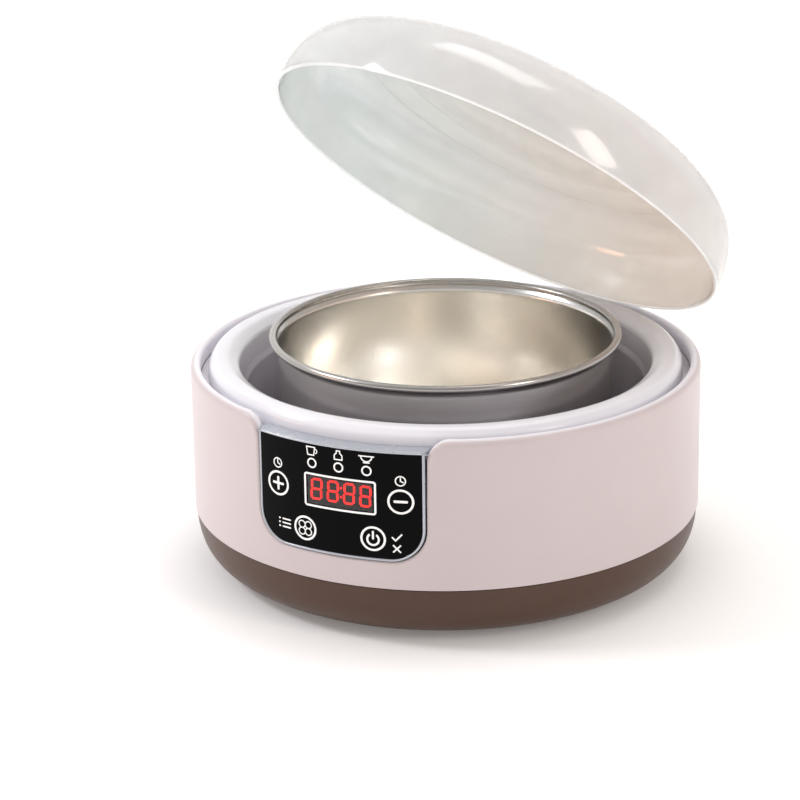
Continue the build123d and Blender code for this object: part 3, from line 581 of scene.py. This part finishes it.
# %% Cut the opening for the power inlet at the back
INLET_Z = 38.0
INLET_HALF = 7.8
INLET_REACH = 4.5
INLET_STEPS = 10
INLET_SEARCH = 20
turns = [math.pi * i / INLET_STEPS for i in range(INLET_STEPS + 1)]
right = [Vector((INLET_REACH + INLET_HALF * math.sin(a), 0, INLET_Z - INLET_HALF * math.cos(a))) for a in turns]
left = [Vector((-point.x, 0, 2 * INLET_Z - point.z)) for point in right]
rim_points = right + left
sides = []
for start, end in zip(rim_points, rim_points[1:] + rim_points[:1]):
    run = end - start
    sides.append((start * MM, Vector((run.z, 0, -run.x)).normalized()))
inside = [face for face in front.faces if face.calc_center_median().y > 0
          and abs(face.calc_center_median().x) < INLET_SEARCH * MM]
for point, outward in sorted(sides, key=lambda side: abs(side[1].x)):
    parts = inside + list({edge for face in inside for edge in face.edges})
    parts += list({vert for face in inside for vert in face.verts})
    cut = bmesh.ops.bisect_plane(front, geom=parts, dist=1e-7, plane_co=point, plane_no=outward)
    inside = [face for face in cut["geom"] if isinstance(face, bmesh.types.BMFace)
              and (face.calc_center_median() - point).dot(outward) < 0]
bmesh.ops.delete(front, geom=inside, context="FACES")
bmesh.ops.bridge_loops(front, edges=[edge for edge in front.edges if edge.is_boundary])
bmesh.ops.recalc_face_normals(front, faces=front.faces[:])
print("inlet opening from", len(sides), "sides, open edges", sum(edge.is_boundary for edge in front.edges))
piece("shell_wall", front, SHELL, "housing", ["outer_shell"], crease=50)

# %% [markdown]
# ## Inner well
# The well is one glossy moulding: the floor of the lid's groove, a fat round bead that the hand rests
# on, a small step below it, the straight wall and the floor that holds the heated plate. It is turned
# from one section, and large corner radii do most of the work, because a polished white part is read
# only by how its reflections bend.

# %% Turn the well
well = turn(section([
    (98.4, 78.0), (95.2, 78.0, 0.5), (95.0, 83.6, 2.6), (92.8, 86.5, 2.4), (87.6, 86.35, 4.5),
    (83.0, 83.6, 2.4), (81.0, 76.0, 2.5), (79.9, 73.6, 2.5), (79.9, 22.0, 6.0), (58.0, 22.0, 0.3),
    (58.0, 20.0), (81.9, 20.0, 8.0), (82.0, 73.6, 1.0), (85.6, 82.6, 2.0), (90.6, 84.4, 2.0),
    (93.0, 82.6, 1.0), (93.0, 76.2), (98.4, 76.2)], segments=8), steps=256)
piece("well_liner", well, WELL, "housing", ["inner_well"], crease=40)

# %% [markdown]
# ## Steel pot
# The pot is drawn from 0.6 mm sheet: a large round corner, an upright wall, a short flare, and a rim
# rolled over a wire, which gives the bright double line at its mouth. Outside and inside belong to
# one section, so the wall has its true thickness. The rolled rim is a ring of its own on top of it.

# %% Turn the pot and its rolled rim
POT_R = 67.2
POT_WALL = 0.6
ROLL = 1.5
ROLL_R = 69.2
ROLL_Z = 93.4
pot = turn(section([
    (0, 22.6), (POT_R, 22.6, 12.0), (POT_R, 90.2, 3.0), (ROLL_R + 0.2, 92.6), (ROLL_R - 0.4, 93.6),
    (POT_R - POT_WALL, 90.6, 3.0), (POT_R - POT_WALL, 23.2, 11.4), (0, 23.2)], segments=10), steps=256)
rim = bmesh.new()
bmesh.ops.create_circle(rim, segments=20, radius=ROLL * MM, cap_ends=True)
bmesh.ops.rotate(rim, verts=rim.verts, cent=(0, 0, 0), matrix=Matrix.Rotation(math.pi / 2, 3, "X"))
bmesh.ops.translate(rim, verts=rim.verts, vec=(ROLL_R * MM, 0, ROLL_Z * MM))
rim_mesh = bpy.data.meshes.new("rolled_rim")
turn(rim, steps=256).to_mesh(rim_mesh)
pot.from_mesh(rim_mesh)
rim.free()
bpy.data.meshes.remove(rim_mesh)
piece("drawn_pot", pot, POT_STEEL, "pot", ["steel_pot"], crease=40)

# %% [markdown]
# ## Dome lid
# The lid is one thin moulding with a straight skirt, a high shoulder and a nearly flat top with a
# small dish over the gate where the plastic went in. Inside, two low steps run round it, left by the
# rings of the mould's core. It is turned lying closed on the axis, and then tipped open about the
# line that the frame's joint gives, so the visual lid and the joint can't disagree.

# %% Draw the lid's section and turn it
LID_R = 97.46
LID_T = 1.5
LID_FOOT = 80.3
LID_SKIRT = 84.3
LID_TOP = 121.26
DISH_R = 8.0
CORE_RINGS = (73.6, 60.6)
CORE_DROP = 0.22


def dome(radius, top, count):
    """Points (x, z) of a dome's half section from its skirt to the axis."""
    rise = top - LID_SKIRT
    knots = ((radius, LID_SKIRT), (radius, LID_SKIRT + 0.75 * rise), (0.8 * radius, top), (0, top))
    return [tuple(p) for p in interpolate_bezier(*[Vector(knot) for knot in knots], count)]


def core_step(radius):
    """How far the inner face has come down below the dome by the core's two rings."""
    return sum(CORE_DROP * (1 - smooth(radius, ring, ring + 1)) for ring in CORE_RINGS)


outer = [(x, z) for x, z in dome(LID_R, LID_TOP, 90) if x > DISH_R + 0.6]
inner = [(x, z - core_step(x)) for x, z in dome(LID_R - LID_T, LID_TOP - LID_T, 220)]
dish = [(DISH_R, outer[-1][1]), (DISH_R - 0.5, LID_TOP - 0.25), (5.0, LID_TOP - 0.45), (2.2, LID_TOP - 0.6),
        (1.4, LID_TOP - 0.6), (1.1, LID_TOP - 0.3), (0.8, LID_TOP - 0.2), (0, LID_TOP - 0.2)]
foot = [(LID_R - LID_T, LID_FOOT, 0.6), (LID_R, LID_FOOT, 0.6)]
lid = turn(section(foot + outer + dish + inner[::-1], segments=5), steps=256)
open_up = Matrix.Rotation(TIP, 4, Vector(hinge["axis"]))
bmesh.ops.transform(lid, matrix=Matrix.Translation(PIVOT) @ open_up @ Matrix.Translation(-PIVOT),
                    verts=lid.verts[:])
piece("lid_shell", lid, LID, "lid", ["lid_dome"], crease=60)

# %% [markdown]
# ## Panel frame
# The touch panel sits in a silver frame: a narrow raised trim round the film, a plate behind it, and a
# flat ledge on top that closes the groove under the bead. The trim is a wrapped ring with both edges
# rounded, so it catches one thin line of light.

# %% Trim round the film
PANEL = [(-34.6, 35.8, 12.9), (34.6, 35.8, 12.9), (34.6, 80.1, 0.6), (-34.6, 80.1, 0.6)]
TRIM = 0.9
TRIM_ROUND = 0.38
TRIM_DEPTH = 0.8
TRIM_R = 102.6
trim = section(PANEL, segments=12)
edge_rows(trim, (0.08, 0.2, TRIM_ROUND, TRIM - TRIM_ROUND, TRIM - 0.2, TRIM - 0.08, TRIM))
core = max(trim.faces, key=lambda face: face.calc_area())
bmesh.ops.delete(trim, geom=[core], context="FACES_ONLY")
upright_cuts(trim, 34, 1.8)
trim_edge = outline_of(trim)
bmesh.ops.solidify(trim, geom=trim.faces[:], thickness=1 * MM)


def trim_depth(x, z, layer):
    """Front of the trim: both edges rounded. Back: flat."""
    return TRIM_DEPTH if abs(layer) > 0.5 else rounding(away(Vector((x, z)), trim_edge), TRIM_ROUND)


wrap(trim, TRIM_R, trim_depth)
tidy(trim)
print("trim", len(trim.faces), "faces,", TRIM, "mm wide")

# %% Plate behind the film, open at the window
WINDOW_X = 1.7
WINDOW_HALF = 14.5
WINDOW_LOW = 54.2
WINDOW_TOP = 67.4
PLATE_FRONT = 0.85
PLATE_BACK = 3.0
plate = section([(-33.7, 36.7, 12.0), (33.7, 36.7, 12.0), (33.7, 79.2), (-33.7, 79.2)])
upright_cuts(plate, 33, 1.8)
lines = [((WINDOW_X + side * WINDOW_HALF, 0, 0), (1, 0, 0)) for side in (-1, 1)]
lines += [((0, 0, height), (0, 0, 1)) for height in (WINDOW_LOW, WINDOW_TOP)]
for point, across in lines:
    bmesh.ops.bisect_plane(plate, geom=plate.verts[:] + plate.edges[:] + plate.faces[:], dist=1e-7,
                           plane_co=Vector(point) * MM, plane_no=across)
window = []
for face in plate.faces:
    middle = face.calc_center_median() / MM
    if abs(middle.x - WINDOW_X) < WINDOW_HALF and WINDOW_LOW < middle.z < WINDOW_TOP:
        window.append(face)
bmesh.ops.delete(plate, geom=window, context="FACES")
bmesh.ops.solidify(plate, geom=plate.faces[:], thickness=1 * MM)
wrap(plate, TRIM_R, lambda x, z, layer: PLATE_BACK if abs(layer) > 0.5 else PLATE_FRONT)
tidy(plate)
print("plate", len(plate.faces), "faces, window", 2 * WINDOW_HALF, "mm wide")

# %% Ledge under the bead
LEDGE_IN = 95.3
LEDGE_OUT = 101.9
LEDGE_LOW = 79.0
LEDGE_TOP = 80.05
LEDGE_HALF = 34.5
LEDGE_ARC = 44
ledge = bmesh.new()
bmesh.ops.create_circle(ledge, segments=4, radius=1, cap_ends=True)
corners = ((LEDGE_IN, LEDGE_LOW), (LEDGE_OUT, LEDGE_LOW), (LEDGE_OUT, LEDGE_TOP), (LEDGE_IN, LEDGE_TOP))
for vert, (x, z) in zip(ledge.verts, corners):
    vert.co = Vector((x, 0, z)) * MM
bmesh.ops.rotate(ledge, verts=ledge.verts, cent=(0, 0, 0),
                 matrix=Matrix.Rotation(math.radians(-90 - LEDGE_ARC / 2), 3, "Z"))
bmesh.ops.spin(ledge, geom=ledge.faces[:], cent=(0, 0, 0), axis=(0, 0, 1), dvec=(0, 0, 0),
               angle=math.radians(LEDGE_ARC), steps=LEDGE_ARC, use_merge=False, space=Matrix())
for side in (-1, 1):
    bmesh.ops.bisect_plane(ledge, geom=ledge.verts[:] + ledge.edges[:] + ledge.faces[:], dist=1e-7,
                           plane_co=(side * LEDGE_HALF * MM, 0, 0), plane_no=(side, 0, 0), clear_outer=True)
bmesh.ops.holes_fill(ledge, edges=[edge for edge in ledge.edges if edge.is_boundary])
tidy(ledge)
print("ledge", len(ledge.faces), "faces")

# %% Join the frame's three parts
for part in (plate, ledge):
    mesh = bpy.data.meshes.new("frame_part")
    part.to_mesh(mesh)
    part.free()
    trim.from_mesh(mesh)
    bpy.data.meshes.remove(mesh)
piece("panel_frame", trim, SILVER, "housing", ["panel_bezel"], crease=40)

# %% [markdown]
# ## Printed marks
# The keys are only marks printed on the film. Rings, bars and small pictograms are drawn flat with
# simple shapes, given a skin of ink and wrapped a hair's breadth above the film. A cup, a bottle and
# a bowl stand over the three lamps, a clock over the plus and minus keys, a list beside the mode key
# and a tick and a cross beside the power key.

# %% Drawing helpers for ink
ink = bmesh.new()


def stamp(bm):
    """Adds one flat mark to the ink."""
    mesh = bpy.data.meshes.new("mark")
    bm.to_mesh(mesh)
    bm.free()
    ink.from_mesh(mesh)
    bpy.data.meshes.remove(mesh)


def ring_mark(x, z, radius, line, start=0, sweep=360):
    """Ring or arc of ink, its outer radius and line width in millimetres, angles from the right."""
    bm = bmesh.new()
    ends = [bm.verts.new((r * MM, 0, 0)) for r in (radius - line, radius)]
    edge = bm.edges.new(ends)
    bmesh.ops.spin(bm, geom=ends + [edge], cent=(0, 0, 0), axis=(0, -1, 0), dvec=(0, 0, 0),
                   angle=math.radians(sweep), steps=max(8, int(sweep / 8)), use_merge=sweep == 360,
                   space=Matrix())
    bmesh.ops.rotate(bm, verts=bm.verts, cent=(0, 0, 0), matrix=Matrix.Rotation(math.radians(-start), 3, "Y"))
    bmesh.ops.translate(bm, verts=bm.verts, vec=(x * MM, 0, z * MM))
    stamp(bm)


def bar_mark(x0, z0, x1, z1, line):
    """Straight stroke with round ends: a disc whose far half is carried to the other end."""
    bm = bmesh.new()
    bmesh.ops.create_circle(bm, segments=16, radius=line / 2 * MM, cap_ends=True)
    bmesh.ops.rotate(bm, verts=bm.verts, cent=(0, 0, 0),
                     matrix=Matrix.Rotation(math.pi / 2, 3, "X") @ Matrix.Rotation(math.pi / 16, 3, "Z"))
    run = Vector((x1 - x0, 0, z1 - z0))
    far = [vert for vert in bm.verts if vert.co.x > 0]
    bmesh.ops.translate(bm, verts=far, vec=(run.length * MM, 0, 0))
    turn_by = math.atan2(run.z, run.x)
    bmesh.ops.rotate(bm, verts=bm.verts, cent=(0, 0, 0), matrix=Matrix.Rotation(-turn_by, 3, "Y"))
    bmesh.ops.translate(bm, verts=bm.verts, vec=(x0 * MM, 0, z0 * MM))
    stamp(bm)


def path_mark(points, line):
    """Joined strokes through flat points; every second one is a hair wider, so no two ends coincide."""
    for i, (start, end) in enumerate(zip(points, points[1:])):
        bar_mark(*start, *end, line * (1 + 0.02 * (i % 2)))


# %% Keys, lamps and display frame
KEY_R = 5.0
KEY_LINE = 0.85
PLUS, MINUS, MODE, POWER = (-25.5, 60.2), (25.8, 60.2), (-13.3, 44.5), (15.1, 44.5)
for x, z in (PLUS, MINUS, MODE, POWER):
    ring_mark(x, z, KEY_R, KEY_LINE)
for x, z in (PLUS, MINUS):
    bar_mark(x - 2.2, z, x + 2.2, z, 1.0)
bar_mark(PLUS[0], PLUS[1] - 2.3, PLUS[0], PLUS[1] + 2.3, 1.0)
for dx in (-1.4, 1.4):
    for dz in (-1.4, 1.4):
        ring_mark(MODE[0] + dx, MODE[1] + dz, 1.62, 0.45)
ring_mark(POWER[0], POWER[1] - 0.3, 2.65, 0.8, start=125, sweep=290)
bar_mark(POWER[0], POWER[1] + 0.1, POWER[0], POWER[1] + 2.8, 0.8)
LAMP_Z = 71.6
LAMPS = [WINDOW_X + 11.3 * i for i in (-1, 0, 1)]
for x in LAMPS:
    ring_mark(x, LAMP_Z, 2.05, 0.62)
FRAME_LINE = 0.8
frame_corners = ((-14.9, 54.0), (14.9, 54.0), (14.9, 67.6), (-14.9, 67.6))
window_frame = section([(WINDOW_X + x, z, 1.2) for x, z in frame_corners])
bmesh.ops.inset_region(window_frame, faces=window_frame.faces[:], thickness=FRAME_LINE * MM,
                       use_boundary=True, use_even_offset=True)
middle = max(window_frame.faces, key=lambda face: face.calc_area())
bmesh.ops.delete(window_frame, geom=[middle], context="FACES_ONLY")
stamp(window_frame)
print("ink so far", len(ink.faces), "faces")

# %% Pictograms: cup, bottle and bowl, two clocks, a list, a tick and a cross
FINE = 0.48
for x, z in (PLUS, MINUS):
    ring_mark(x, z + 8.3, 2.1, FINE)
    path_mark([(x, z + 9.6), (x, z + 8.3), (x + 1.0, z + 7.8)], FINE)
cup, bottle, bowl = LAMPS
path_mark([(cup - 2.2, 78.0), (cup - 1.7, 74.8), (cup + 0.9, 74.8), (cup + 1.4, 78.0), (cup - 2.2, 78.0)], FINE)
ring_mark(cup + 1.4, 76.5, 1.1, FINE - 0.08, start=-80, sweep=160)
path_mark([(bottle - 0.7, 78.2), (bottle - 0.7, 77.3), (bottle - 1.6, 76.4), (bottle - 1.6, 74.7),
           (bottle + 1.6, 74.7), (bottle + 1.6, 76.4), (bottle + 0.7, 77.3), (bottle + 0.7, 78.2),
           (bottle - 0.7, 78.2)], FINE)
ring_mark(bowl, 77.4, 2.4, FINE, start=180, sweep=180)
bar_mark(bowl - 2.9, 77.4, bowl + 2.9, 77.4, FINE)
bar_mark(bowl - 1.1, 74.8, bowl + 1.1, 74.8, FINE)
for z in (46.1, 44.5, 42.9):
    bar_mark(MODE[0] - 12.0, z, MODE[0] - 11.9, z, 0.75)
    bar_mark(MODE[0] - 10.4, z, MODE[0] - 6.9, z, 0.6)
path_mark([(POWER[0] + 7.4, 45.6), (POWER[0] + 8.6, 44.4), (POWER[0] + 10.9, 46.9)], 0.6)
path_mark([(POWER[0] + 7.8, 42.4), (POWER[0] + 10.4, 39.8)], 0.6)
path_mark([(POWER[0] + 10.4, 42.4), (POWER[0] + 7.8, 39.8)], 0.6)
upright_cuts(ink, 36, 1.5)
INK_T = 0.04
bmesh.ops.recalc_face_normals(ink, faces=ink.faces[:])
bmesh.ops.solidify(ink, geom=ink.faces[:], thickness=1 * MM)
wrap(ink, 102.2 + INK_T, lambda x, z, layer: INK_T + 0.02 if abs(layer) > 0.5 else 0.0)
bmesh.ops.recalc_face_normals(ink, faces=ink.faces[:])
piece("panel_marks", ink, INK, "housing", crease=40)

# %% [markdown]
# ## Stage and light
# The floor and the room are plain and nearly white, and the room is brighter behind the machine than
# in front of it, which makes the milky lid look lit from within. A small key light at the left puts
# sharp highlights on the bead and the lid. A warm light stands at the right, a weak and warmer one
# lies low at the left, and a wide one hangs above. The floor gives off a little light of its own, which
# keeps it white as far as the horizon.

# %% Floor, world and lights
scene = bpy.context.scene
floor_bm = bmesh.new()
bmesh.ops.create_circle(floor_bm, segments=96, radius=6.0, cap_ends=True)
floor_mesh = bpy.data.meshes.new("floor")
floor_bm.to_mesh(floor_mesh)
floor_bm.free()
floor = bpy.data.objects.new("floor", floor_mesh)
scene.collection.objects.link(floor)
paper, tree, shader, place = finish("studio_paper", {
    "Roughness": 0.9, "Emission Color": colour("#FFFDFB"), "Emission Strength": 0.14})
fibre = add(tree, "TexNoise", {"Vector": place, "Scale": per_mm(1.5), "Detail": 2.0})
vary(tree, shader, "Base Color", fibre.outputs["Fac"], "#F6F5F4", "#FAF9F8")
floor_mesh.materials.append(paper)

room = bpy.data.worlds.new("room")
scene.world = room
room.use_nodes = True
room.node_tree.nodes["Background"].inputs["Color"].default_value = colour("#FFFCFA")
sky = room.node_tree.nodes["Background"]
toward = add(room.node_tree, "TexCoord").outputs["Generated"]
behind = add(room.node_tree, "VectorMath", {0: toward, 1: (-0.41, 0.91, 0.1)}, operation="DOT_PRODUCT")
spread = add(room.node_tree, "MapRange", {"Value": behind.outputs["Value"], "From Min": -0.6, "From Max": 0.8,
                                          "To Min": 0.52, "To Max": 1.1})
room.node_tree.links.new(spread.outputs["Result"], sky.inputs["Strength"])
scene.view_settings.view_transform = "Standard"


def soft_light(name, place, target, width, height, power, tint):
    """Rectangular soft light aimed at a point."""
    data = bpy.data.lights.new(name, "AREA")
    data.shape = "RECTANGLE"
    data.size, data.size_y = width, height
    data.energy = power
    data.color = colour(tint)[:3]
    lamp = bpy.data.objects.new(name, data)
    lamp.location = place
    lamp.rotation_euler = (Vector(target) - Vector(place)).to_track_quat("-Z", "Y").to_euler()
    scene.collection.objects.link(lamp)


soft_light("key", (-1.1, -0.5, 1.1), (0, 0, 0.1), 0.35, 0.35, 8.0, "#F8F9FF")
soft_light("warm_side", (1.1, -0.3, 0.7), (0, 0, 0.1), 0.3, 0.5, 2.8, "#FFF3EA")
soft_light("warm_low", (-0.9, -0.75, 0.12), (0, 0, 0.03), 0.3, 0.15, 0.7, "#FFB48C")
soft_light("top", (0.1, 0.3, 1.5), (0, 0, 0.1), 1.0, 0.5, 4.2, "#FFFFFF")
